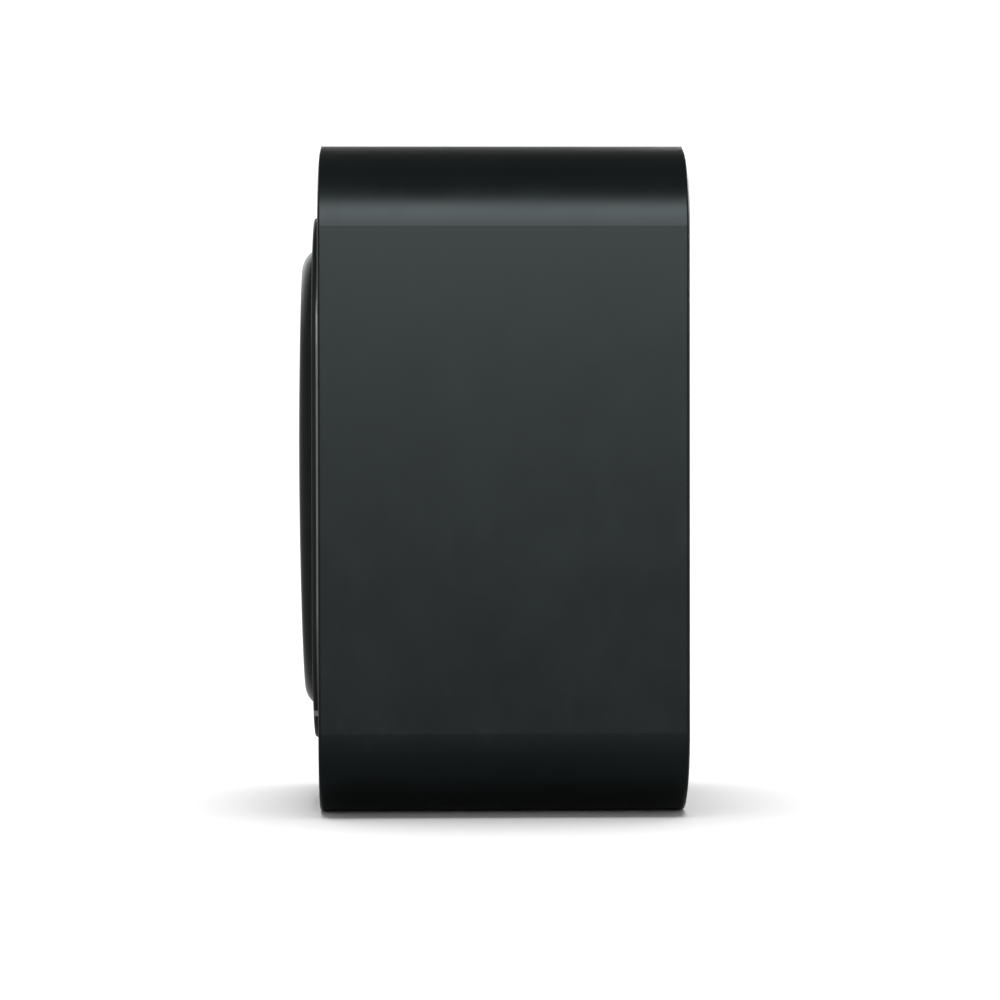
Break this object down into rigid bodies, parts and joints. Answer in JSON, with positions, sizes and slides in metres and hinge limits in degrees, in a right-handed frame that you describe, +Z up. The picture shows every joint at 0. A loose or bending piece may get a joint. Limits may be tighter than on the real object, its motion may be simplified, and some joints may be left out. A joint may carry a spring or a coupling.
{
  "type": "wall mounted soap dispenser",
  "caption": "Upright box with large rounded corners, a hinged front door with an oval push paddle, a bottle with a push pump inside and an outlet underneath.",
  "frame": {"origin": "on the wall plane, at the centre of the four wall screw holes", "axes": "+Z up, +Y into the wall, -Y the front that faces the user, +X the door's latch side"},
  "size_m": [0.112, 0.1225, 0.21],
  "materials": {
    "sleeve_black": "satin, fine moulded grain",
    "door_black": "satin",
    "bezel_black": "satin",
    "paddle_black": "soft gloss",
    "inner_black": "matt",
    "plate_grey": "matt",
    "trim_metal": "satin",
    "clip_grey": "matt",
    "screw_zinc": "zinc plated",
    "steel": "plain",
    "magnet": "nickel plated",
    "lock_chrome": "polished",
    "bottle_clear": "translucent, smooth",
    "shelf_grey": "matt",
    "pump_white": "smooth",
    "silicone": "translucent matt",
    "seal_black": "matt"
  },
  "bodies": {
    "housing": {"housing_sleeve": "sleeve_black", "back_plate": "plate_grey", "housing_screws": "screw_zinc", "strike_plates": "steel", "outlet_trim": "inner_black", "bottle_shelf": "shelf_grey", "shelf_screws": "screw_zinc", "soap_bottle": "bottle_clear", "vent_valve": "silicone", "neck_seal": "seal_black", "union_nut": "inner_black", "pump_body": "pump_white", "inlet_valve": "silicone", "pump_gland": "inner_black", "plunger_spring": "steel", "outlet_nozzle": "pump_white", "outlet_valve": "silicone"},
    "plunger": {"pump_plunger": "pump_white", "piston_seal": "seal_black"},
    "door": {"front_door": "door_black", "hinge_pins": "steel", "door_magnets": "magnet", "trim_ring": "trim_metal", "bezel_ring": "bezel_black", "bezel_clips": "clip_grey", "stop_pads": "silicone", "pivot_pin": "steel", "paddle_spring": "steel", "lock_bush": "lock_chrome", "lock_nut": "screw_zinc"},
    "paddle": {"push_paddle": "paddle_black", "paddle_carrier": "inner_black", "paddle_screws": "screw_zinc"},
    "lock": {"lock_plug": "lock_chrome", "lock_cam": "steel", "cam_screw": "screw_zinc"}
  },
  "joints": [
    {"name": "door_swing", "type": "hinge", "parent": "housing", "child": "door", "pos_m": [-0.042, -0.1136, 0], "axis": [0, 0, -1], "range_deg": [0, 110]},
    {"name": "paddle_push", "type": "hinge", "parent": "door", "child": "paddle", "pos_m": [0, -0.107, 0.0639], "axis": [1, 0, 0], "range_deg": [0, 4.7], "stiffness_Nm_per_rad": 3, "springref_deg": -5.73, "deforming": ["paddle_spring"]},
    {"name": "plunger_stroke", "type": "slide", "parent": "housing", "child": "plunger", "axis": [0, 1, 0], "range_m": [0, 0.01045], "stiffness_N_per_m": 150, "springref_m": -0.01, "deforming": ["plunger_spring"]},
    {"name": "lock_turn", "type": "hinge", "parent": "door", "child": "lock", "pos_m": [0, -0.1042, 0.091], "axis": [0, -1, 0], "range_deg": [0, 90]}
  ],
  "couplings": [
    {"joint": "plunger_stroke", "follows": "paddle_push", "m_per_rad": 0.127}
  ]
}
